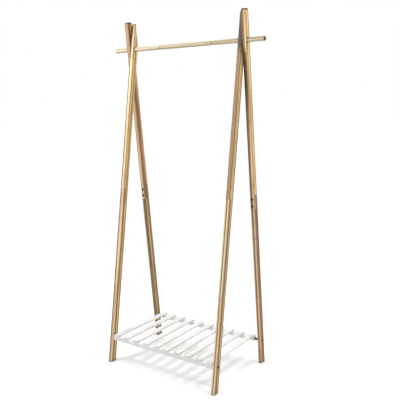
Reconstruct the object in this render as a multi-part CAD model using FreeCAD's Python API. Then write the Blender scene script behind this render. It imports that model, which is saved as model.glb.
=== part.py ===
import FreeCAD, Part
import math
import os

# Clothes rack. Each end is a pair of flat laminated legs that cross like scissors at the
# hanging rod, and a slatted shelf ties the feet together. Millimetres, +Z up, +X along the
# rod to the right, -Y to the front. The origin is on the floor, midway between the feet.

# Driving dimensions: the frame
rack_height = 1656.5
rod_height = 1527.5
foot_spread = 406.0
front_leg_x = 301.5
leg_thickness = 18.0
leg_width = 34.0
leg_edge_radius = 1.5
leg_top_radius = 9.0
front_leg_drop = 6.5
leg_gap = 3.0
floor_cut_depth = 60.0

# The tapered top of each front leg
taper_start = 18.0

# The hanging rod
rod_diameter = 20.0
rod_overhang = 92.0
rod_chamfer = 1.5
rod_hole_chamfer = 1.5
washer_diameter = 32.0

# The lap joint halfway up each leg, measured down the leg from the rod axis
lap_top = 684.0
lap_length = 68.0
lap_bolt_inset = 18.0

# The shelf
shelf_top = 137.0
slat_count = 10
slat_width = 28.0
slat_thickness = 9.0
slat_end_inset = 3.5
slat_edge_radius = 1.0
rail_depth = 24.0
rail_height = 19.0
rail_edge_radius = 1.0
shelf_side_clearance = 1.0

# Fasteners
bolt_diameter = 6.0
bolt_head_diameter = 10.0
bolt_head_height = 2.5
bolt_head_recess = 1.5
bolt_socket_across = 4.0
bolt_socket_depth = 1.6
insert_diameter = 9.0
insert_length = 12.0
lap_bolt_engagement = 10.0
shelf_bolt_engagement = 18.0
shelf_insert_diameter = 10.0
shelf_insert_length = 20.0
spacer_diameter = 12.0
pin_engagement = 16.0
pin_clearance = 0.3
notch_depth = 18.0
notch_run = 30.0
screw_diameter = 3.5
screw_head_diameter = 7.0
screw_head_height = 2.2
screw_length = 24.5
outer_screw_shift = 8.0

# Fits
running_clearance = 0.05
part_clearance = 0.3
hole_overrun = 1.0

# The fold: the rear legs swing about the rod while the shelf swings up about its front bolts
fold_angle = 14.0
shelf_lift_angle = 82.0

# Worked-out dimensions
rod_radius = rod_diameter / 2
bolt_radius = bolt_diameter / 2
leg_tilt = math.degrees(math.atan(foot_spread / 2 / rod_height))
tilt_sin = math.sin(math.radians(leg_tilt))
tilt_cos = math.cos(math.radians(leg_tilt))
leg_reach_down = rod_height / tilt_cos
leg_reach_up = (rack_height - rod_height - (leg_width / 2 - leg_top_radius) * tilt_sin
                - leg_top_radius * (1 - tilt_cos)) / tilt_cos
rear_leg_x = front_leg_x + leg_thickness + leg_gap
rail_bottom = shelf_top - slat_thickness - rail_height
pivot_height = rail_bottom + rail_height / 2
pivot_y = foot_spread / 2 * (1 - pivot_height / rod_height)
shelf_half = front_leg_x - leg_thickness / 2 - shelf_side_clearance
slat_pitch = 2 * (shelf_half - slat_end_inset - slat_width / 2) / (slat_count - 1)
slat_length = 2 * pivot_y + rail_depth
rod_length = 2 * (rear_leg_x + rod_overhang)

ORIGIN = FreeCAD.Vector(0, 0, 0)
X_AXIS = FreeCAD.Vector(1, 0, 0)
Y_AXIS = FreeCAD.Vector(0, 1, 0)
Z_AXIS = FreeCAD.Vector(0, 0, 1)


def box(x_range, y_range, z_range):
    """A box between the given limits."""
    size = [limits[1] - limits[0] for limits in (x_range, y_range, z_range)]
    corner = FreeCAD.Vector(x_range[0], y_range[0], z_range[0])
    return Part.makeBox(size[0], size[1], size[2], corner)


def rod_between(start, direction, radius, length):
    """A cylinder from a start point along a direction."""
    return Part.makeCylinder(radius, length, start, direction)


def edges_along(shape, axis):
    """The straight edges of a shape that run along an axis."""
    found = []
    for edge in shape.Edges:
        if not isinstance(edge.Curve, Part.Line):
            continue
        run = edge.Vertexes[-1].Point.sub(edge.Vertexes[0].Point)
        if run.Length > 0 and abs(run.dot(axis)) / run.Length > 0.9999:
            found.append(edge)
    return found


def all_equal(values):
    """Whether some coordinates agree."""
    return max(values) - min(values) < 1e-4


def eased_bar(x_range, y_range, z_range, axis, radius):
    """A bar with its four long edges rounded over."""
    bar = box(x_range, y_range, z_range)
    return bar.makeFillet(radius, edges_along(bar, axis))


# The leg frame: origin where the leg crosses the rod, +Z up the leg, +Y to the leg's inner
# narrow face, the one that looks at the other leg of the pair below the rod.

def wide_face_outline(bar):
    """The edges round both wide faces of a leg blank, without those at its foot."""
    found = []
    for edge in bar.Edges:
        points = [vertex.Point for vertex in edge.Vertexes]
        if all_equal([point.x for point in points]) and max(point.z for point in points) > 0:
            found.append(edge)
    return found


def leg_bar(reach_up):
    """One straight leg blank with a round-cornered top and eased edges."""
    half_x = leg_thickness / 2
    half_y = leg_width / 2
    bar = box((-half_x, half_x), (-half_y, half_y),
              (-leg_reach_down - floor_cut_depth, reach_up))
    top_corners = [edge for edge in edges_along(bar, X_AXIS) if edge.Vertexes[0].Point.z > 0]
    bar = bar.makeFillet(leg_top_radius, top_corners)
    return bar.makeFillet(leg_edge_radius, wide_face_outline(bar))


def top_taper():
    """The wedge cut from the inner side of a front leg's top, parallel to the rear leg."""
    half_x = leg_thickness / 2 + hole_overrun
    inner_y = leg_width / 2
    rise = leg_reach_up + leg_width - taper_start
    fall_in = rise * math.tan(math.radians(2 * leg_tilt))
    corners = [FreeCAD.Vector(-half_x, inner_y, taper_start),
               FreeCAD.Vector(-half_x, inner_y + leg_width, taper_start),
               FreeCAD.Vector(-half_x, inner_y + leg_width, taper_start + rise),
               FreeCAD.Vector(-half_x, inner_y - fall_in, taper_start + rise)]
    outline = Part.makePolygon(corners + corners[:1])
    return Part.Face(outline).extrude(FreeCAD.Vector(2 * half_x, 0, 0))


def upper_side():
    """The region that the upper leg section fills: above the lap, and its inner tongue."""
    wide = leg_width
    above = box((-wide, wide), (-wide, wide), (-lap_top, leg_reach_up + wide))
    tongue = box((-wide, wide), (0, wide), (-lap_top - lap_length, -lap_top))
    return above.fuse(tongue)


def lap_bolt_heights():
    """The two bolts of a lap joint, as heights in the leg frame."""
    return (-lap_top - lap_bolt_inset, -lap_top - lap_length + lap_bolt_inset)


def bolt(head_face, direction, length):
    """A socket-head bolt: head centred at head_face, shank running along direction."""
    seat = head_face.add(FreeCAD.Vector(direction).multiply(bolt_head_height))
    head = rod_between(head_face, direction, bolt_head_diameter / 2, bolt_head_height)
    shank = rod_between(seat, direction, bolt_radius, length)
    socket = rod_between(head_face, direction, bolt_socket_across / 2, bolt_socket_depth)
    return head.fuse(shank).cut(socket).removeSplitter()


def bolt_hole(head_face, direction, length):
    """The clearance hole and head recess of a bolt."""
    radius = bolt_radius + running_clearance
    hole = rod_between(head_face, direction, radius, length + bolt_head_height)
    recess = rod_between(head_face, direction, bolt_head_diameter / 2 + running_clearance,
                         bolt_head_height)
    return hole.fuse(recess)


def lap_head_face(height):
    """The outer centre of a lap bolt's head, standing a little proud of the leg."""
    proud = bolt_head_height - bolt_head_recess
    return FreeCAD.Vector(0, leg_width / 2 + proud, height)


def lap_bolt_length():
    """From under the head to the end of the thread in the outer tongue."""
    return leg_width / 2 - bolt_head_recess + lap_bolt_engagement


def lap_bolts():
    inwards = FreeCAD.Vector(0, -1, 0)
    return [bolt(lap_head_face(height), inwards, lap_bolt_length())
            for height in lap_bolt_heights()]


def lap_inserts():
    """Threaded inserts in the outer tongue, starting at the lap face."""
    inserts = []
    for height in lap_bolt_heights():
        mouth = FreeCAD.Vector(0, 0, height)
        outwards = FreeCAD.Vector(0, -1, 0)
        sleeve = rod_between(mouth, outwards, insert_diameter / 2, insert_length)
        bore = rod_between(mouth, outwards, bolt_radius + running_clearance, insert_length)
        inserts.append(sleeve.cut(bore))
    return inserts


def lap_holes():
    """Everything bored into a leg for its lap bolts and inserts."""
    cuts = []
    for height in lap_bolt_heights():
        inwards = FreeCAD.Vector(0, -1, 0)
        cuts.append(bolt_hole(lap_head_face(height), inwards, lap_bolt_length()))
        cuts.append(rod_between(FreeCAD.Vector(0, 0, height), inwards,
                                insert_diameter / 2 + running_clearance,
                                insert_length + running_clearance))
    return cuts


def place_leg(shape, x, front):
    """Tilt a front leg's shape about the rod and set it in its plane; mirror it for a rear leg."""
    placed = shape.copy()
    placed.rotate(ORIGIN, X_AXIS, -leg_tilt)
    placed.translate(FreeCAD.Vector(0, 0, rod_height))
    if not front:
        placed = placed.mirror(ORIGIN, Y_AXIS)
    placed.translate(FreeCAD.Vector(x, 0, 0))
    return placed


def leg_sections(x, front):
    """The lower and upper sections of one leg, bored for the rod, the lap and the shelf."""
    if front:
        bar = leg_bar(leg_reach_up - front_leg_drop).cut(top_taper())
    else:
        bar = leg_bar(leg_reach_up)
    for hole in lap_holes():
        bar = bar.cut(hole)
    upper = place_leg(bar.common(upper_side()), x, front)
    lower = place_leg(bar.cut(upper_side()), x, front)
    wide = foot_spread
    floor = box((x - wide, x + wide), (-wide, wide), (-2 * floor_cut_depth, 0))
    lower = lower.cut(floor)
    upper = upper.cut(rod_hole(x, front))
    lower = lower.cut(shelf_bolt_hole(x, front))
    return lower, upper


def outward(x):
    """The direction along X away from the middle of the rack."""
    return FreeCAD.Vector(math.copysign(1, x), 0, 0)


def rod_hole(x, front):
    """The rod's hole through a leg, chamfered on the side away from the other leg."""
    radius = rod_radius + running_clearance
    start = FreeCAD.Vector(x - leg_thickness, 0, rod_height)
    open_side = outward(-x) if front else outward(x)
    mouth = FreeCAD.Vector(x, 0, rod_height).add(open_side.multiply(leg_thickness / 2))
    into_leg = outward(x) if front else outward(-x)
    chamfer = Part.makeCone(radius + rod_hole_chamfer, radius, rod_hole_chamfer, mouth, into_leg)
    return rod_between(start, X_AXIS, radius, 2 * leg_thickness).fuse(chamfer)


# The shelf's four fasteners run along X, through the legs and into the rails' ends.

def shelf_head_face(x, front):
    """The outer centre of a shelf bolt's head."""
    proud = leg_thickness / 2 - bolt_head_recess + bolt_head_height
    y = -pivot_y if front else pivot_y
    return FreeCAD.Vector(x, y, pivot_height).add(outward(x).multiply(proud))


def shelf_bolt_length(x, engagement):
    """From under the head to the end of the shank inside the rail."""
    return abs(x) + leg_thickness / 2 - bolt_head_recess - shelf_half + engagement


def shelf_bolt(x, front, engagement):
    inwards = outward(-x)
    return bolt(shelf_head_face(x, front), inwards, shelf_bolt_length(x, engagement))


def shelf_bolt_hole(x, front):
    inwards = outward(-x)
    return bolt_hole(shelf_head_face(x, front), inwards, 2 * leg_thickness)


def shelf_insert(x):
    """The sleeve in an end of the front rail that turns on the front bolt."""
    mouth = FreeCAD.Vector(math.copysign(shelf_half, x), -pivot_y, pivot_height)
    inwards = outward(-x)
    sleeve = rod_between(mouth, inwards, shelf_insert_diameter / 2, shelf_insert_length)
    bore = rod_between(mouth, inwards, bolt_radius + running_clearance, shelf_insert_length)
    return sleeve.cut(bore)


def rear_spacer(x):
    """The sleeve on a rear pin between the outer leg and the rail's end."""
    leg_face = abs(x) - leg_thickness / 2
    start = FreeCAD.Vector(math.copysign(leg_face, x), pivot_y, pivot_height)
    inwards = outward(-x)
    length = leg_face - shelf_half - part_clearance
    sleeve = rod_between(start, inwards, spacer_diameter / 2, length)
    bore = rod_between(start, inwards, bolt_radius + running_clearance, length)
    return sleeve.cut(bore)


def pin_path_slope():
    """How far a rear pin moves forward for each unit it drops, seen from the lifting shelf."""
    pin_reach = math.hypot(pivot_y, rod_height - pivot_height)
    forward = pin_reach * tilt_cos
    drop = 2 * pivot_y * shelf_lift_angle / fold_angle + pin_reach * tilt_sin
    return forward / drop


def pin_notch(x):
    """The open-bottomed notch that drops over a rear pin, slanted along the pin's way out."""
    radius = bolt_radius + pin_clearance
    slope = pin_path_slope()
    length = math.hypot(1, slope)
    along = FreeCAD.Vector(0, -slope / length, -1 / length)
    across = FreeCAD.Vector(0, 1 / length, -slope / length).multiply(radius)
    start = FreeCAD.Vector(math.copysign(shelf_half + hole_overrun, x), pivot_y, pivot_height)
    depth = outward(-x).multiply(notch_depth + hole_overrun)
    far = start.add(FreeCAD.Vector(along).multiply(notch_run))
    corners = [start.add(across), far.add(across), far.sub(across), start.sub(across)]
    slot = Part.Face(Part.makePolygon(corners + corners[:1])).extrude(depth)
    return slot.fuse(rod_between(start, outward(-x), radius, depth.Length))


def slat_centres():
    first = -slat_pitch * (slat_count - 1) / 2
    return [first + slat_pitch * number for number in range(slat_count)]


def screw_positions():
    """One screw under the middle of each slat, but the end slats' are set in from the bolts."""
    positions = slat_centres()
    positions[0] += outer_screw_shift
    positions[-1] -= outer_screw_shift
    return positions


def screw_starts(y):
    return [FreeCAD.Vector(x, y, rail_bottom) for x in screw_positions()]


def slat_screw(start):
    """A countersunk screw driven up through a rail into a slat."""
    head = Part.makeCone(screw_head_diameter / 2, screw_diameter / 2, screw_head_height, start,
                         Z_AXIS)
    return head.fuse(rod_between(start, Z_AXIS, screw_diameter / 2, screw_length))


def screw_hole(start):
    grow = running_clearance
    head = Part.makeCone(screw_head_diameter / 2 + grow, screw_diameter / 2 + grow,
                         screw_head_height, start, Z_AXIS)
    return head.fuse(rod_between(start, Z_AXIS, screw_diameter / 2 + grow, screw_length + grow))


def shelf_rail(y):
    """A rail along X, bored for the slat screws; the caller cuts its ends."""
    rail = eased_bar((-shelf_half, shelf_half), (y - rail_depth / 2, y + rail_depth / 2),
                     (rail_bottom, rail_bottom + rail_height), X_AXIS, rail_edge_radius)
    for start in screw_starts(y):
        rail = rail.cut(screw_hole(start))
    return rail


def front_rail():
    rail = shelf_rail(-pivot_y)
    for x in (-front_leg_x, front_leg_x):
        mouth = FreeCAD.Vector(math.copysign(shelf_half, x), -pivot_y, pivot_height)
        rail = rail.cut(rod_between(mouth, outward(-x),
                                    shelf_insert_diameter / 2 + running_clearance,
                                    shelf_insert_length + running_clearance))
    return rail


def rear_rail():
    rail = shelf_rail(pivot_y)
    for x in (-rear_leg_x, rear_leg_x):
        rail = rail.cut(pin_notch(x))
    return rail


def shelf_slat(x, screw_x):
    """One slat laid from rail to rail."""
    slat = eased_bar((x - slat_width / 2, x + slat_width / 2), (-slat_length / 2, slat_length / 2),
                     (shelf_top - slat_thickness, shelf_top), Y_AXIS, slat_edge_radius)
    for y in (-pivot_y, pivot_y):
        slat = slat.cut(screw_hole(FreeCAD.Vector(screw_x, y, rail_bottom)))
    return slat


def hanging_rod():
    start = FreeCAD.Vector(-rod_length / 2, 0, rod_height)
    rod = rod_between(start, X_AXIS, rod_radius, rod_length)
    rims = [edge for edge in rod.Edges if isinstance(edge.Curve, Part.Circle)]
    return rod.makeChamfer(rod_chamfer, rims)


def rod_washer(side):
    """The thin ring on the rod that keeps the two legs of a pair apart."""
    inner_face = side * (front_leg_x + leg_thickness / 2)
    start = FreeCAD.Vector(inner_face, 0, rod_height)
    outwards = FreeCAD.Vector(side, 0, 0)
    thickness = leg_gap - part_clearance
    ring = rod_between(start, outwards, washer_diameter / 2, thickness)
    return ring.cut(rod_between(start, outwards, rod_radius + running_clearance, thickness))


def export(shape, node):
    shape.exportStep("parts/" + node + ".step")
    print(node, "solids", len(shape.Solids), "volume", round(shape.Volume), shape.isValid())


def export_group(shapes, node):
    export(Part.makeCompound(shapes), node)


def build_front_legs():
    bolts = []
    inserts = []
    for side, x in (("left", -front_leg_x), ("right", front_leg_x)):
        lower, upper = leg_sections(x, True)
        export(lower, "front_" + side + "_leg_lower")
        export(upper, "front_" + side + "_leg_upper")
        bolts += [place_leg(shape, x, True) for shape in lap_bolts()]
        inserts += [place_leg(shape, x, True) for shape in lap_inserts()]
    export_group(bolts, "front_leg_bolts")
    export_group(inserts, "front_leg_inserts")


def build_rear_legs():
    for side, x in (("left", -rear_leg_x), ("right", rear_leg_x)):
        name = "rear_" + side
        lower, upper = leg_sections(x, False)
        export(lower, name + "_leg_lower")
        export(upper, name + "_leg_upper")
        export_group([place_leg(shape, x, False) for shape in lap_bolts()], name + "_leg_bolts")
        export_group([place_leg(shape, x, False) for shape in lap_inserts()], name + "_leg_inserts")
        export(shelf_bolt(x, False, pin_engagement), name + "_shelf_pin")
        export(rear_spacer(x), name + "_shelf_spacer")


def build_rod():
    export(hanging_rod(), "hanging_rod")
    export_group([rod_washer(-1), rod_washer(1)], "rod_washers")


def build_shelf():
    sides = (-front_leg_x, front_leg_x)
    export(front_rail(), "shelf_front_rail")
    export(rear_rail(), "shelf_rear_rail")
    for number, (x, screw_x) in enumerate(zip(slat_centres(), screw_positions()), start=1):
        export(shelf_slat(x, screw_x), "shelf_slat_%02d" % number)
    starts = screw_starts(-pivot_y) + screw_starts(pivot_y)
    export_group([slat_screw(start) for start in starts], "shelf_slat_screws")
    export_group([shelf_bolt(x, True, shelf_bolt_engagement) for x in sides], "front_shelf_bolts")
    export_group([shelf_insert(x) for x in sides], "shelf_pivot_inserts")


def main():
    os.makedirs("parts", exist_ok=True)
    build_front_legs()
    build_rear_legs()
    build_rod()
    build_shelf()
    print("leg tilt", round(leg_tilt, 3), "pivot y", round(pivot_y, 3), "z", pivot_height)
    print("lift per fold", round(shelf_lift_angle / fold_angle, 4))


main()
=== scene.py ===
import math

import bpy
from mathutils import Matrix, Vector


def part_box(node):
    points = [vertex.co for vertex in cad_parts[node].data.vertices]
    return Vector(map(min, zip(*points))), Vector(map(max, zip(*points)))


# Clothes rack: crossed bamboo legs, a round bamboo rod and a white slatted shelf.
# Everything is in metres in the part's own frame: +Z up, +X along the rod, -Y to the front.

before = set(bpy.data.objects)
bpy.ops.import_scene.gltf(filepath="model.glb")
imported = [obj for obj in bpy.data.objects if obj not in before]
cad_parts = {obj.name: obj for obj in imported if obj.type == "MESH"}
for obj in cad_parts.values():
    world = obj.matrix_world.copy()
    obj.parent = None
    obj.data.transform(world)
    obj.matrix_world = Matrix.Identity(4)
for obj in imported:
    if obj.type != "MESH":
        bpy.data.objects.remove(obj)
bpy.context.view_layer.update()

# The places that the materials follow: the rod and the shelf pin are measured on the imported
# part, the others are given
MM = 0.001
rod_low, rod_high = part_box("hanging_rod")
PIVOT_Z = (rod_low.z + rod_high.z) / 2
ROD_RADIUS = (rod_high.z - rod_low.z) / 2
FOOT_SPREAD = 406 * MM
LEG_TILT = math.atan(FOOT_SPREAD / 2 / PIVOT_Z)
LEG_HALF_THICKNESS = 9 * MM
LEG_HALF_WIDTH = 17 * MM
LEG_CORNER = 9 * MM
LAP_TOP = 684 * MM
LAP_BOTTOM = 752 * MM
LAP_BOLT_DEPTHS = (702 * MM, 734 * MM)
shelf_pin_low, shelf_pin_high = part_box("rear_right_shelf_pin")
SHELF_BOLT_DEPTH = math.hypot((shelf_pin_low.y + shelf_pin_high.y) / 2,
                              PIVOT_Z - (shelf_pin_low.z + shelf_pin_high.z) / 2)

# Camera
CAMERA_EYE = Vector((1.5116, -2.1239, 1.1954))
CAMERA_AIM = Vector((0.0879, 0.0, 0.8175))
CAMERA_ROLL = math.radians(0.08)
CAMERA_LENS_MM = 49.607
SENSOR_MM = 36.0


def make_camera():
    data = bpy.data.cameras.new("camera")
    data.sensor_width = SENSOR_MM
    data.lens = CAMERA_LENS_MM
    data.clip_end = 100
    camera = bpy.data.objects.new("camera", data)
    bpy.context.scene.collection.objects.link(camera)
    turn = (CAMERA_AIM - CAMERA_EYE).to_track_quat("-Z", "Y").to_matrix().to_4x4()
    camera.matrix_world = (Matrix.Translation(CAMERA_EYE) @ turn
                           @ Matrix.Rotation(CAMERA_ROLL, 4, "Z"))
    bpy.context.scene.camera = camera


class Graph:
    """One material's nodes, built from short calls. A value is a socket, a number or a tuple."""

    def __init__(self, name):
        self.material = bpy.data.materials.new(name)
        self.material.use_nodes = True
        self.tree = self.material.node_tree
        self.tree.nodes.clear()
        self.shader = self.tree.nodes.new("ShaderNodeBsdfPrincipled")
        output = self.tree.nodes.new("ShaderNodeOutputMaterial")
        self.tree.links.new(self.shader.outputs["BSDF"], output.inputs["Surface"])

    def feed(self, socket, value):
        if isinstance(value, bpy.types.NodeSocket):
            self.tree.links.new(value, socket)
        else:
            socket.default_value = value

    def math(self, operation, *values):
        node = self.tree.nodes.new("ShaderNodeMath")
        node.operation = operation
        for socket, value in zip(node.inputs, values):
            self.feed(socket, value)
        return node.outputs[0]

    def step(self, value, low, high, start=0.0, end=1.0):
        """A smooth change from start to end as value goes from low to high."""
        node = self.tree.nodes.new("ShaderNodeMapRange")
        node.interpolation_type = "SMOOTHSTEP"
        for name, item in (("Value", value), ("From Min", low), ("From Max", high),
                           ("To Min", start), ("To Max", end)):
            self.feed(node.inputs[name], item)
        return node.outputs["Result"]

    def mix(self, factor, first, second):
        node = self.tree.nodes.new("ShaderNodeMix")
        node.data_type = "RGBA"
        self.feed(node.inputs["Factor"], factor)
        self.feed(node.inputs[6], first)
        self.feed(node.inputs[7], second)
        return node.outputs[2]

    def tint(self, colour, amount):
        """The colour made lighter or darker by a number around 1."""
        node = self.tree.nodes.new("ShaderNodeVectorMath")
        node.operation = "SCALE"
        fixed = isinstance(colour, tuple)
        self.feed(node.inputs[0], colour[:3] if fixed else colour)
        self.feed(node.inputs["Scale"], amount)
        return node.outputs[0]

    def cap(self, colour, most):
        """The colour with no channel above most, so that nothing reflects more than it gets."""
        node = self.tree.nodes.new("ShaderNodeVectorMath")
        node.operation = "MINIMUM"
        self.feed(node.inputs[0], colour)
        self.feed(node.inputs[1], (most, most, most))
        return node.outputs[0]

    def combine(self, x, y, z):
        node = self.tree.nodes.new("ShaderNodeCombineXYZ")
        for socket, value in zip(node.inputs, (x, y, z)):
            self.feed(socket, value)
        return node.outputs[0]

    def separate(self, vector):
        node = self.tree.nodes.new("ShaderNodeSeparateXYZ")
        self.feed(node.inputs[0], vector)
        return tuple(node.outputs)

    def place(self, origin, turn=0.0):
        """The surface point measured from origin and turned about X."""
        coordinate = self.tree.nodes.new("ShaderNodeTexCoord")
        shift = self.tree.nodes.new("ShaderNodeVectorMath")
        shift.operation = "SUBTRACT"
        self.feed(shift.inputs[0], coordinate.outputs["Object"])
        self.feed(shift.inputs[1], tuple(origin))
        node = self.tree.nodes.new("ShaderNodeVectorRotate")
        node.rotation_type = "X_AXIS"
        self.feed(node.inputs["Vector"], shift.outputs[0])
        self.feed(node.inputs["Angle"], turn)
        return self.separate(node.outputs[0])

    def noise(self, point, rates, detail=2.0, offset=0.0):
        """Noise from 0 to 1 that changes at its own rate, per metre, along each of three axes."""
        scaled = [self.math("MULTIPLY", axis, rate) for axis, rate in zip(point, rates)]
        scaled[0] = self.math("ADD", scaled[0], offset)
        node = self.tree.nodes.new("ShaderNodeTexNoise")
        self.feed(node.inputs["Vector"], self.combine(*scaled))
        self.feed(node.inputs["Scale"], 1.0)
        self.feed(node.inputs["Detail"], detail)
        return node.outputs["Fac"]

    def cells(self, point, size):
        """The distance to the nearest of many scattered points, in cells."""
        node = self.tree.nodes.new("ShaderNodeTexVoronoi")
        self.feed(node.inputs["Vector"], self.combine(*point))
        self.feed(node.inputs["Scale"], 1 / size)
        return node.outputs["Distance"]

    def chance(self, *values):
        """Two steady random numbers from 0 to 1 for a set of whole numbers."""
        node = self.tree.nodes.new("ShaderNodeTexWhiteNoise")
        node.noise_dimensions = "3D"
        self.feed(node.inputs["Vector"], self.combine(*values))
        red, green, _ = self.separate(node.outputs["Color"])
        return red, green

    def distance(self, first, second):
        squares = [self.math("MULTIPLY", value, value) for value in (first, second)]
        return self.math("SQRT", self.math("ADD", *squares))

    def finish(self, colour, roughness, height, depth, fixed):
        """Connects what varies over the surface, and sets what doesn't on the shader itself."""
        self.feed(self.shader.inputs["Base Color"], colour)
        self.feed(self.shader.inputs["Roughness"], roughness)
        bump = self.tree.nodes.new("ShaderNodeBump")
        self.feed(bump.inputs["Height"], height)
        self.feed(bump.inputs["Distance"], depth)
        self.feed(bump.inputs["Strength"], 1.0)
        self.feed(self.shader.inputs["Normal"], bump.outputs[0])
        for name, value in fixed.items():
            self.shader.inputs[name].default_value = value
        return self.material


# Bamboo colours, linear: the broad faces of the strips are golden, their sides are paler
BROAD_LIGHT = (0.86, 0.60, 0.26, 1)
BROAD_DARK = (0.25, 0.12, 0.043, 1)
SIDE_LIGHT = (0.66, 0.49, 0.30, 1)
SIDE_DARK = (0.19, 0.11, 0.055, 1)
RUDDY_BROAD_LIGHT = (0.86, 0.53, 0.23, 1)
RUDDY_BROAD_DARK = (0.25, 0.105, 0.04, 1)
RUDDY_SIDE_LIGHT = (0.66, 0.465, 0.28, 1)
GOLDEN = (BROAD_DARK, BROAD_LIGHT, SIDE_DARK, SIDE_LIGHT)
RUDDY = (RUDDY_BROAD_DARK, RUDDY_BROAD_LIGHT, SIDE_DARK, RUDDY_SIDE_LIGHT)
ROD_LIGHT = (0.54, 0.445, 0.29, 1)
ROD_DARK = (0.11, 0.078, 0.04, 1)
ROD_PALETTE = (ROD_DARK, ROD_LIGHT, ROD_DARK, ROD_LIGHT)
END_GRAIN = (0.055, 0.032, 0.014, 1)
# Hole rims: scorch from drilling together with painted shade in the hole's mouth
SCORCH_AND_SHADE = (0.03, 0.014, 0.005, 1)
MOST_REFLECTED = 0.88
PLAIN_TINTS = (1.0, 1.0, 1.0, 1.0)

# How the bamboo is laminated. Strips start at their own offset in each ply
PLY = 6 * MM
STRIP = 10 * MM
STRIP_OFFSET = 3 * MM
OUTER_PLY_OFFSET = 5.5 * MM
SIDE_PLY_OFFSET = 2 * MM

# Rates of change per metre across the thickness, across the width and along the grain
FIBRE_RATES = (900, 900, 7)
STREAK_RATES = (200, 200, 3.0)
BROAD_RATES = (30, 30, 5.0)
STRIP_SPREAD = 40.0

# Steps: the value where the change starts and ends, then the result at each
PALENESS = (0.15, 0.85, 0.05, 1.0)
STREAK_LIGHT = (0.32, 0.68, 0.0, 0.42)
BROAD_GRAIN_LIGHT = (0.3, 0.7, 0.0, 0.30)
WORN_EDGE = (0.6 * MM, 2.6 * MM, 1.0, 0.0)
WORN_PATCHES = (0.35, 0.62, 0.0, 1.0)
NODE_BAND = (0.005, 0.018, 1.0, 0.0)
NODE_STRENGTH = (0.2, 0.9, 0.15, 0.6)
GLUE_WIDTH = (0.45, 1.0, 0.1 * MM, 1.1 * MM)
FOOT_RIM = (1.5 * MM, 6 * MM, 1.0, 0.0)
PORE_DARKNESS = (0.15, 0.5, 0.4, 1.0)
RING_DEPTH = (1.5 * MM, 3 * MM, 1.0, 0.0)
LAP_SEAM = (0.3 * MM, 0.9 * MM, 1.0, 0.0)

# Along the grain from the rod: where the front narrow face's painted shade, the crossing leg's
# shadow, changes below it, and above it
PAINTED_SHADE_BELOW_ROD = (-440 * MM, -240 * MM)
PAINTED_SHADE_ABOVE_ROD = (-80 * MM, -15 * MM)
FACE_SWITCH = 2 * MM
SIDE_SWITCH = 0.2 * MM

# Sizes of the marks on the bamboo
NODE_SPACING = 0.29
NODE_WANDER = 0.03
GLUE_FADE = 0.5 * MM
ROD_END_RIM = (4 * MM, 1.5 * MM)
CROWN_RIM = (9 * MM, 4.5 * MM)
PORE = 1.1 * MM
BOLT_RIM_RADIUS = 5 * MM
RING_FULL = 1.2 * MM
RING_NONE = 3.6 * MM

# How strongly each mark covers the bamboo under it
GLUE_STRENGTH = 0.6
WORN_STRENGTH = 0.30
SEAM_STRENGTH = 0.6
RIM_STRENGTH = 0.86
RING_STRENGTH = 0.8

# The bamboo's lightness, roughness and relief, each with the share that its grain adds
BASE_LIGHT = 0.52
FIBRE_LIGHT = 0.25
BASE_ROUGHNESS = 0.36
FIBRE_ROUGHNESS = 0.18
WORN_ROUGHNESS = 0.12
FIBRE_HEIGHT = 0.5
GLUE_HEIGHT = 0.6
NODE_HEIGHT = 0.5
BAMBOO_BUMP = 0.25 * MM
BAMBOO_FINISH = {"Specular IOR Level": 0.25, "Coat Weight": 0.04, "Coat Roughness": 0.3}


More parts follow.
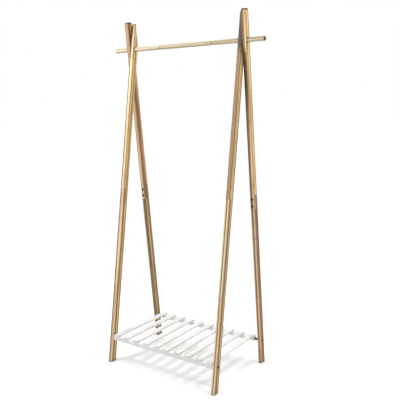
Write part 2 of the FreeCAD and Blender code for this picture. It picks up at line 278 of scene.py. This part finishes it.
class Bamboo(Graph):
    """Laminated bamboo: three plies of lengthwise strips, each with its own tint and nodes.

    The grain runs along the turned Z axis, or along X where swap is true. Measured from the
    origin, a runs across the thickness, b across the width and c along the grain.
    """

    def __init__(self, name, origin, turn, swap, halves, seed):
        super().__init__(name)
        a, b, c = self.place(origin, turn)
        if swap:
            a, b, c = b, c, a
        self.a, self.b, self.c = a, b, c
        self.b_inner = b if turn > 0 else self.math("MULTIPLY", b, -1.0)
        self.halves = halves
        self.lay_strips(seed)
        self.find_faces()

    def lay_strips(self, seed):
        """Which ply and strip this is, with its shade, phase and grain."""
        ply = self.math("FLOOR", self.math("ADD", self.math("DIVIDE", self.a, PLY), 0.5))
        ply = self.math("MAXIMUM", self.math("MINIMUM", ply, 1.0), -1.0)
        stagger = self.math(
            "ADD", self.math("MULTIPLY", self.math("ABSOLUTE", ply), OUTER_PLY_OFFSET),
            self.math("MULTIPLY", ply, SIDE_PLY_OFFSET))
        shifted = self.math("ADD", self.math("ADD", self.b, stagger), STRIP_OFFSET)
        self.across = self.math("DIVIDE", shifted, STRIP)
        self.shade, self.phase = self.chance(ply, self.math("FLOOR", self.across), seed)
        own = self.math("MULTIPLY", self.shade, STRIP_SPREAD)
        point = (self.a, self.b, self.c)
        self.fibre = self.noise(point, FIBRE_RATES, 3.0, own)
        self.streak = self.noise(point, STREAK_RATES, 2.0, own)
        self.broad = self.noise(point, BROAD_RATES, 2.0, own)

    def find_faces(self):
        """How far in from the faces, which kind of face this is, and how rubbed its edge is."""
        half_a, half_b = self.halves
        self.from_a = self.math("SUBTRACT", half_a, self.math("ABSOLUTE", self.a))
        from_b = self.math("SUBTRACT", half_b, self.math("ABSOLUTE", self.b))
        self.side_face = self.step(self.math("SUBTRACT", self.from_a, from_b),
                                   -SIDE_SWITCH, SIDE_SWITCH)
        to_edge = self.math("MAXIMUM", self.from_a, from_b)
        self.worn = self.math("MULTIPLY", self.step(to_edge, *WORN_EDGE),
                              self.step(self.streak, *WORN_PATCHES))

    def node_band(self):
        """A thin wavy band across each strip, at its own places."""
        wander = self.math("MULTIPLY", self.math("SUBTRACT", self.streak, 0.5), NODE_WANDER)
        turns = self.math("ADD", self.math("DIVIDE", self.c, NODE_SPACING),
                          self.math("ADD", self.phase, wander))
        from_node = self.math("ABSOLUTE", self.math("SUBTRACT", self.math("FRACT", turns), 0.5))
        return self.step(from_node, *NODE_BAND)

    def glue_line(self):
        """The lines between the strips and between the plies, wider round some strips."""
        part = self.math("FRACT", self.across)
        nearer = self.math("MINIMUM", part, self.math("SUBTRACT", 1.0, part))
        to_strip = self.math("MULTIPLY", nearer, STRIP)
        to_ply = self.math("ABSOLUTE", self.math("SUBTRACT", self.math("ABSOLUTE", self.a),
                                                 PLY / 2))
        width = self.step(self.phase, *GLUE_WIDTH)
        return self.step(self.math("MINIMUM", to_strip, to_ply), width,
                         self.math("ADD", width, GLUE_FADE), 1.0, 0.0)

    def strip_colour(self, palette, tints_and_painted_light):
        """The bare bamboo's colour.

        Tints scale the broad faces, the narrow faces, and the front narrow face again just below
        and above the rod, where they paint the crossing leg's shadow (on one leg a painted
        lightening above the rod). Besides each section's own tone, the tints hold painted light
        and shade.
        """
        broad, narrow_all, painted_shade_below_rod, painted_shade_above_rod = tints_and_painted_light
        paleness = self.step(self.shade, *PALENESS)
        colour_broad = self.mix(paleness, palette[0], palette[1])
        colour_side = self.mix(paleness, palette[2], palette[3])
        # Painted shade on the front narrow face only, just below and above the rod: it stands in
        # for the crossing leg's shadow.
        narrow = self.step(self.c, *PAINTED_SHADE_BELOW_ROD, narrow_all, narrow_all * painted_shade_below_rod)
        narrow = self.step(self.c, *PAINTED_SHADE_ABOVE_ROD, narrow, narrow_all * painted_shade_above_rod)
        narrow = self.step(self.b, -FACE_SWITCH, FACE_SWITCH, narrow, narrow_all)
        colour = self.mix(self.side_face, self.tint(colour_broad, broad),
                          self.tint(colour_side, narrow))
        light = self.math("ADD", self.math("MULTIPLY", self.fibre, FIBRE_LIGHT),
                          self.step(self.streak, *STREAK_LIGHT))
        light = self.math("ADD", light, self.step(self.broad, *BROAD_GRAIN_LIGHT))
        return self.cap(self.tint(colour, self.math("ADD", light, BASE_LIGHT)), MOST_REFLECTED)

    def stain(self, colour, amount, strength, stain):
        return self.mix(self.math("MULTIPLY", amount, strength), colour, stain)

    def rod_rim(self, top):
        far, near = ROD_END_RIM
        return self.step(self.math("ABSOLUTE", self.c), top - far, top - near)

    def leg_rim(self, top):
        far, near = CROWN_RIM
        crown = self.step(self.c, top - far, top - near)
        _, _, height_up = self.place((0, 0, 0))
        # The foot rim darkens the leg's sides to the end-grain colour in the last few millimetres
        # above the floor.
        return self.math("MAXIMUM", crown, self.step(height_up, *FOOT_RIM))

    def end_grain(self, colour, rim):
        """The dark end-grain colour with paler pores, laid over the rim."""
        pores = self.cells((self.a, self.b, self.c), PORE)
        dots = self.step(pores, *PORE_DARKNESS)
        return self.stain(colour, rim, RIM_STRENGTH, self.tint(END_GRAIN, dots))

    def lap_seam(self):
        """The thin line where the two sections meet: across, down the middle, across."""
        below_top = self.math("ABSOLUTE", self.math("ADD", self.c, LAP_TOP))
        below_bottom = self.math("ABSOLUTE", self.math("ADD", self.c, LAP_BOTTOM))
        middle = self.math("ABSOLUTE", self.math("ADD", self.c, (LAP_TOP + LAP_BOTTOM) / 2))
        past_end = self.math("SUBTRACT", middle, (LAP_BOTTOM - LAP_TOP) / 2)
        outer = self.math("MULTIPLY", self.b_inner, -1.0)
        upper = self.math("MAXIMUM", below_top, self.b_inner)
        lower = self.math("MAXIMUM", below_bottom, outer)
        along = self.math("MAXIMUM", self.math("ABSOLUTE", self.b_inner), past_end)
        nearest = self.math("MINIMUM", upper, self.math("MINIMUM", lower, along))
        return self.step(nearest, *LAP_SEAM)

    def hole_rim(self, axis, depth):
        """The dark rim of a hole that runs along axis, at depth down the grain: partly scorch
        from drilling, partly painted shade in the hole's mouth.
        """
        side = self.b if axis == "a" else self.a
        hole = ROD_RADIUS if depth == 0 else BOLT_RIM_RADIUS
        radius = self.distance(side, self.math("ADD", self.c, depth))
        ring = self.step(radius, hole + RING_FULL, hole + RING_NONE, 1.0, 0.0)
        inwards = (self.from_a if axis == "a"
                   else self.math("SUBTRACT", self.halves[1], self.b_inner))
        return self.math("MULTIPLY", ring, self.step(inwards, *RING_DEPTH))

    def complete(self, palette, tints_and_painted_light, rim, seam, holes):
        """Lays nodes, glue, wear, seam, dark end rims and hole rims (partly scorch, partly
        painted shade) over the bare colour.
        """
        node_band, glue = self.node_band(), self.glue_line()
        colour = self.strip_colour(palette, tints_and_painted_light)
        strength = self.step(self.phase, *NODE_STRENGTH)
        colour = self.stain(colour, node_band, strength, END_GRAIN)
        colour = self.stain(colour, glue, GLUE_STRENGTH, END_GRAIN)
        colour = self.stain(colour, self.worn, WORN_STRENGTH, SIDE_LIGHT)
        if seam is not None:
            colour = self.stain(colour, seam, SEAM_STRENGTH, END_GRAIN)
        colour = self.end_grain(colour, rim)
        for axis, depth in holes:
            # Hole rims, partly scorch and partly painted shade round the rod and bolts
            colour = self.stain(colour, self.hole_rim(axis, depth), RING_STRENGTH, SCORCH_AND_SHADE)
        height = self.math("SUBTRACT", self.math("MULTIPLY", self.fibre, FIBRE_HEIGHT),
                           self.math("MULTIPLY", glue, GLUE_HEIGHT))
        height = self.math("ADD", height, self.math("MULTIPLY", node_band, NODE_HEIGHT))
        rubbed = self.math("MULTIPLY", self.worn, WORN_ROUGHNESS)
        roughness = self.math("ADD", self.math("MULTIPLY", self.fibre, FIBRE_ROUGHNESS),
                              self.math("ADD", rubbed, BASE_ROUGHNESS))
        return self.finish(colour, roughness, height, BAMBOO_BUMP, BAMBOO_FINISH)


# White paint over wood
WHITE = (0.755, 0.755, 0.75, 1)
WHITE_WARM = (0.70, 0.695, 0.68, 1)
PRIMER = (0.55, 0.46, 0.34, 1)
PAINT_SEEDS = (3.0, 7.0)
PAINT_SPREAD = 50.0
PAINT_RATE_ALONG = 9
PAINT_RATE_ACROSS = 500
BRUSH_SHARE_OF_RATE = 0.35
CLOUD_RATE = 22
RUBBED_EDGE = (0.5 * MM, 1.8 * MM, 1.0, 0.0)
RUBBED_PATCHES = (0.48, 0.66, 0.0, 1.0)
WARM_PATCHES = (0.3, 0.7, 0.0, 1.0)
PAINT_LIGHT = 0.96
PAINT_GRAIN_LIGHT = 0.05
SLAT_LIGHT = 0.035
RUBBED_STRENGTH = 0.35
PAINT_ROUGHNESS = 0.34
BRUSH_ROUGHNESS = 0.16
RUBBED_ROUGHNESS = 0.2
PAINT_BUMP = 0.2 * MM
PAINT_FINISH = {"Coat Weight": 0.1, "Coat Roughness": 0.25}


def distance_to_edge(g, point, halves):
    """The distance in from the nearest edge of a box, which is the second smallest gap."""
    gaps = [g.math("SUBTRACT", half, g.math("ABSOLUTE", axis))
            for half, axis in zip(halves, point)]
    low = g.math("MINIMUM", gaps[0], gaps[1])
    high = g.math("MAXIMUM", gaps[0], gaps[1])
    return g.math("MAXIMUM", low, g.math("MINIMUM", high, gaps[2]))


def painted_wood(name, centre, halves, along_x, pitch=None):
    """Satin white paint over wood: the grain telegraphs through, and the edges are rubbed.

    Where pitch is given, the material repeats along X, with its own grain each time.
    """
    g = Graph(name)
    x, y, z = g.place(centre)
    number = 0.0
    if pitch:
        number = g.math("FLOOR", g.math("DIVIDE", x, pitch))
        x = g.math("SUBTRACT", x, g.math("MULTIPLY", g.math("ADD", number, 0.5), pitch))
    point = (x, y, z)
    shade, other = g.chance(number, *PAINT_SEEDS)
    own = g.math("MULTIPLY", shade, PAINT_SPREAD)
    rates = [PAINT_RATE_ACROSS] * 3
    rates[0 if along_x else 1] = PAINT_RATE_ALONG
    grain = g.noise(point, rates, 3.0, own)
    brush = g.noise(point, [rate * BRUSH_SHARE_OF_RATE for rate in rates], 1.0, other)
    cloud = g.noise(point, (CLOUD_RATE,) * 3, 2.0, own)
    rubbed = g.math("MULTIPLY", g.step(distance_to_edge(g, point, halves), *RUBBED_EDGE),
                    g.step(cloud, *RUBBED_PATCHES))
    colour = g.mix(g.step(cloud, *WARM_PATCHES), WHITE, WHITE_WARM)
    light = g.math("ADD", g.math("MULTIPLY", grain, PAINT_GRAIN_LIGHT),
                   g.math("MULTIPLY", shade, SLAT_LIGHT))
    colour = g.tint(colour, g.math("ADD", light, PAINT_LIGHT))
    colour = g.mix(g.math("MULTIPLY", rubbed, RUBBED_STRENGTH), colour, PRIMER)
    height = g.math("ADD", g.math("MULTIPLY", grain, 0.5), g.math("MULTIPLY", brush, 0.5))
    rough_edge = g.math("ADD", g.math("MULTIPLY", rubbed, RUBBED_ROUGHNESS), PAINT_ROUGHNESS)
    roughness = g.math("ADD", g.math("MULTIPLY", brush, BRUSH_ROUGHNESS), rough_edge)
    return g.finish(colour, roughness, height, PAINT_BUMP, PAINT_FINISH)


# Small parts: two colours, how metallic, and the least roughness
BLACK_STEEL = ((0.018, 0.018, 0.019, 1), (0.09, 0.09, 0.09, 1), 0.4, 0.32)
BLACK_NYLON = ((0.022, 0.021, 0.020, 1), (0.05, 0.05, 0.05, 1), 0.0, 0.5)
BRASS = ((0.62, 0.42, 0.14, 1), (0.42, 0.27, 0.09, 1), 1.0, 0.28)
ZINC_STEEL = ((0.58, 0.59, 0.60, 1), (0.36, 0.36, 0.37, 1), 1.0, 0.3)
SPECKLE_RATES = (900, 900, 900)
DULL_RATES = (160, 160, 160)
SCRATCH_RATES = (90, 2400, 2400)
SCRATCH_LINES = (0.62, 0.7, 0.0, 1.0)
SCRATCH_PATCHES = (0.45, 0.6, 0.0, 1.0)
SPECKLE_STRENGTH = 0.35
SCRATCH_STRENGTH = 0.5
DULL_ROUGHNESS = 0.25
SPECKLE_HEIGHT = 0.6
SCRATCH_HEIGHT = 0.4
SMALL_PART_BUMP = 0.05 * MM


def small_part(name, base, second, metallic, roughness):
    """A coated, moulded or turned small part: fine speckle, broad dulling and light scratches."""
    g = Graph(name)
    point = g.place((0, 0, 0))
    speckle = g.noise(point, SPECKLE_RATES, 3.0)
    dull = g.noise(point, DULL_RATES, 2.0)
    scratch = g.noise(point, SCRATCH_RATES, 1.0)
    mark = g.math("MULTIPLY", g.step(scratch, *SCRATCH_LINES), g.step(dull, *SCRATCH_PATCHES))
    colour = g.mix(g.math("MULTIPLY", speckle, SPECKLE_STRENGTH), base, second)
    colour = g.mix(g.math("MULTIPLY", mark, SCRATCH_STRENGTH), colour, second)
    rough = g.math("ADD", g.math("MULTIPLY", dull, DULL_ROUGHNESS), roughness)
    height = g.math("SUBTRACT", g.math("MULTIPLY", speckle, SPECKLE_HEIGHT),
                    g.math("MULTIPLY", mark, SCRATCH_HEIGHT))
    return g.finish(colour, rough, height, SMALL_PART_BUMP, {"Metallic": metallic})


def paint(node, material):
    """Gives a CAD node's object the material in each of its slots."""
    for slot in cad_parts[node].material_slots:
        slot.material = material


# Each leg section: the seed of its grain, its palette and its four tints. Besides the section's
# own tone, the tints hold painted light and shade that no lamp here gives, the last two painting
# the crossing leg's shadow on the front narrow face, so plain bamboo is PLAIN_TINTS throughout.
LEG_SECTIONS = {
    "front_left_leg_lower": (11, GOLDEN, (1.0, 1.42, 1.0, 1.0)),
    "front_left_leg_upper": (12, GOLDEN, (0.75, 1.75, 1.0, 0.7)),
    "front_right_leg_lower": (13, RUDDY, (0.55, 1.55, 1.0, 1.0)),
    "front_right_leg_upper": (14, GOLDEN, (0.66, 2.1, 1.0, 0.2)),
    "rear_left_leg_lower": (15, GOLDEN, (0.73, 0.76, 1.0, 1.0)),
    "rear_left_leg_upper": (16, RUDDY, (0.66, 1.24, 1.0, 0.8)),
    "rear_right_leg_lower": (17, RUDDY, (0.84, 1.12, 1.0, 1.0)),
    "rear_right_leg_upper": (18, GOLDEN, (0.95, 1.38, 0.5, 1.35)),
}
ROD_SEED = 21.0
SLAT_COUNT = 10


def leg_top(upper_node):
    """How far a leg reaches above the rod along its grain, from the height of its top."""
    _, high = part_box(upper_node)
    inset = (LEG_HALF_WIDTH - LEG_CORNER) * math.sin(LEG_TILT)
    return (high.z - PIVOT_Z - inset - LEG_CORNER) / math.cos(LEG_TILT) + LEG_CORNER


def dress_legs():
    holes = [("a", 0.0), ("a", SHELF_BOLT_DEPTH)] + [("b", depth) for depth in LAP_BOLT_DEPTHS]
    for node, (seed, palette, tints_and_painted_light) in LEG_SECTIONS.items():
        low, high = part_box(node)
        origin = ((low.x + high.x) / 2, 0, PIVOT_Z)
        turn = LEG_TILT if node.startswith("front") else -LEG_TILT
        g = Bamboo("bamboo_" + node, origin, turn, False,
                   (LEG_HALF_THICKNESS, LEG_HALF_WIDTH), float(seed))
        rim = g.leg_rim(leg_top(node[:-len("lower")] + "upper"))
        paint(node, g.complete(palette, tints_and_painted_light, rim, g.lap_seam(), holes))


def dress_rod():
    g = Bamboo("bamboo_rod", (0, 0, PIVOT_Z), 0.0, True, (ROD_RADIUS, ROD_RADIUS), ROD_SEED)
    paint("hanging_rod", g.complete(ROD_PALETTE, PLAIN_TINTS, g.rod_rim(rod_high.x), None, ()))


def dress_shelf():
    first_low, first_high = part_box("shelf_slat_01")
    last_low, last_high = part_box("shelf_slat_10")
    pitch = (last_low.x - first_low.x) / (SLAT_COUNT - 1)
    centre = ((first_low.x + last_high.x) / 2, 0, (first_low.z + first_high.z) / 2)
    halves = ((first_high - first_low) / 2)
    slats = painted_wood("white_slats", centre, tuple(halves), False, pitch)
    for number in range(1, SLAT_COUNT + 1):
        paint("shelf_slat_%02d" % number, slats)
    for node in ("shelf_front_rail", "shelf_rear_rail"):
        low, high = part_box(node)
        paint(node, painted_wood("white_" + node, tuple((low + high) / 2),
                                 tuple((high - low) / 2), True))


def dress_fasteners():
    black = small_part("black_steel", *BLACK_STEEL)
    nylon = small_part("black_nylon", *BLACK_NYLON)
    brass = small_part("brass", *BRASS)
    zinc = small_part("zinc_steel", *ZINC_STEEL)
    for node in ("front_leg_bolts", "rear_left_leg_bolts", "rear_right_leg_bolts",
                 "front_shelf_bolts", "rear_left_shelf_pin", "rear_right_shelf_pin"):
        paint(node, black)
    for node in ("rod_washers", "rear_left_shelf_spacer", "rear_right_shelf_spacer"):
        paint(node, nylon)
    for node in ("front_leg_inserts", "rear_left_leg_inserts", "rear_right_leg_inserts",
                 "shelf_pivot_inserts"):
        paint(node, brass)
    paint("shelf_slat_screws", zinc)


FLOOR_HALF = 60.0
FLOOR_PALE = (0.90, 0.90, 0.90, 1)
FLOOR_PALER = (0.92, 0.92, 0.92, 1)
FLOOR_RATES = (3, 3, 3)
FLOOR_ROUGHNESS = 0.85
FLOOR_CLOUD_ROUGHNESS = 0.1


def make_floor():
    """A plain matt floor, wide enough that its edge is never seen."""
    corners = [(-FLOOR_HALF, -FLOOR_HALF, 0), (FLOOR_HALF, -FLOOR_HALF, 0),
               (FLOOR_HALF, FLOOR_HALF, 0), (-FLOOR_HALF, FLOOR_HALF, 0)]
    mesh = bpy.data.meshes.new("floor")
    mesh.from_pydata(corners, [], [(0, 1, 2, 3)])
    floor = bpy.data.objects.new("floor", mesh)
    bpy.context.scene.collection.objects.link(floor)
    g = Graph("pale_floor")
    cloud = g.noise(g.place((0, 0, 0)), FLOOR_RATES, 1.0)
    colour = g.mix(cloud, FLOOR_PALE, FLOOR_PALER)
    roughness = g.math("ADD", g.math("MULTIPLY", cloud, FLOOR_CLOUD_ROUGHNESS), FLOOR_ROUGHNESS)
    mesh.materials.append(g.finish(colour, roughness, cloud, 0.0, {"Specular IOR Level": 0.0}))


def lamp_towards(name, kind, place, aim, energy, size):
    """A sun or a round lamp at place, shining at aim."""
    data = bpy.data.lights.new(name, kind)
    data.energy = energy
    if kind == "SUN":
        data.angle = size
    else:
        data.shape = "DISK"
        data.size = size
    lamp = bpy.data.objects.new(name, data)
    bpy.context.scene.collection.objects.link(lamp)
    lamp.location = place
    lamp.rotation_euler = (Vector(aim) - Vector(place)).to_track_quat("-Z", "Y").to_euler()
    lamp.visible_camera = False


# The sun: the azimuth and elevation that it comes from, its strength and softness in degrees.
# Lamps: name, place, point that they shine at, power, size
WORLD_LIGHT = 0.4
BACKDROP_LIGHT = 1.0
SUN_AZIMUTH = 165
SUN_ELEVATION = 76
SUN_STRENGTH = 2.3
SUN_SOFTNESS = 60
SUN_DISTANCE = 5
LAMPS = (
    ("lamp_left", (-0.8, -0.9, 2.1), (-0.3, 0, 1.4), 18, 0.5),
    ("lamp_right", (1.4, 0.2, 2.1), (0.33, 0, 1.4), 8, 0.5),
)


def from_direction(azimuth, elevation):
    """The unit vector towards a light, with azimuth 0 in front and 90 to the right."""
    turn, rise = math.radians(azimuth), math.radians(elevation)
    return Vector((math.sin(turn) * math.cos(rise), -math.cos(turn) * math.cos(rise),
                   math.sin(rise)))


def make_world():
    """An even white world, dimmer as light than it looks to the camera."""
    world = bpy.data.worlds.new("studio")
    bpy.context.scene.world = world
    world.use_nodes = True
    tree = world.node_tree
    tree.nodes.clear()
    output = tree.nodes.new("ShaderNodeOutputWorld")
    path = tree.nodes.new("ShaderNodeLightPath")
    mix = tree.nodes.new("ShaderNodeMixShader")
    shaders = []
    for strength in (WORLD_LIGHT, BACKDROP_LIGHT):
        shader = tree.nodes.new("ShaderNodeBackground")
        shader.inputs["Color"].default_value = (1, 1, 1, 1)
        shader.inputs["Strength"].default_value = strength
        shaders.append(shader)
    tree.links.new(path.outputs["Is Camera Ray"], mix.inputs[0])
    tree.links.new(shaders[0].outputs[0], mix.inputs[1])
    tree.links.new(shaders[1].outputs[0], mix.inputs[2])
    tree.links.new(mix.outputs[0], output.inputs["Surface"])


def make_light():
    """A white studio: an even world, a soft sun, and near lamps that fade down the legs."""
    make_world()
    lamp_towards("sun_top", "SUN", from_direction(SUN_AZIMUTH, SUN_ELEVATION) * SUN_DISTANCE,
                 (0, 0, 0), SUN_STRENGTH, math.radians(SUN_SOFTNESS))
    for name, place, aim, power, size in LAMPS:
        lamp_towards(name, "AREA", place, aim, power, size)
    view = bpy.context.scene.view_settings
    view.view_transform = "Standard"
    view.look = "None"


make_camera()
make_light()
make_floor()
dress_legs()
dress_rod()
dress_shelf()
dress_fasteners()
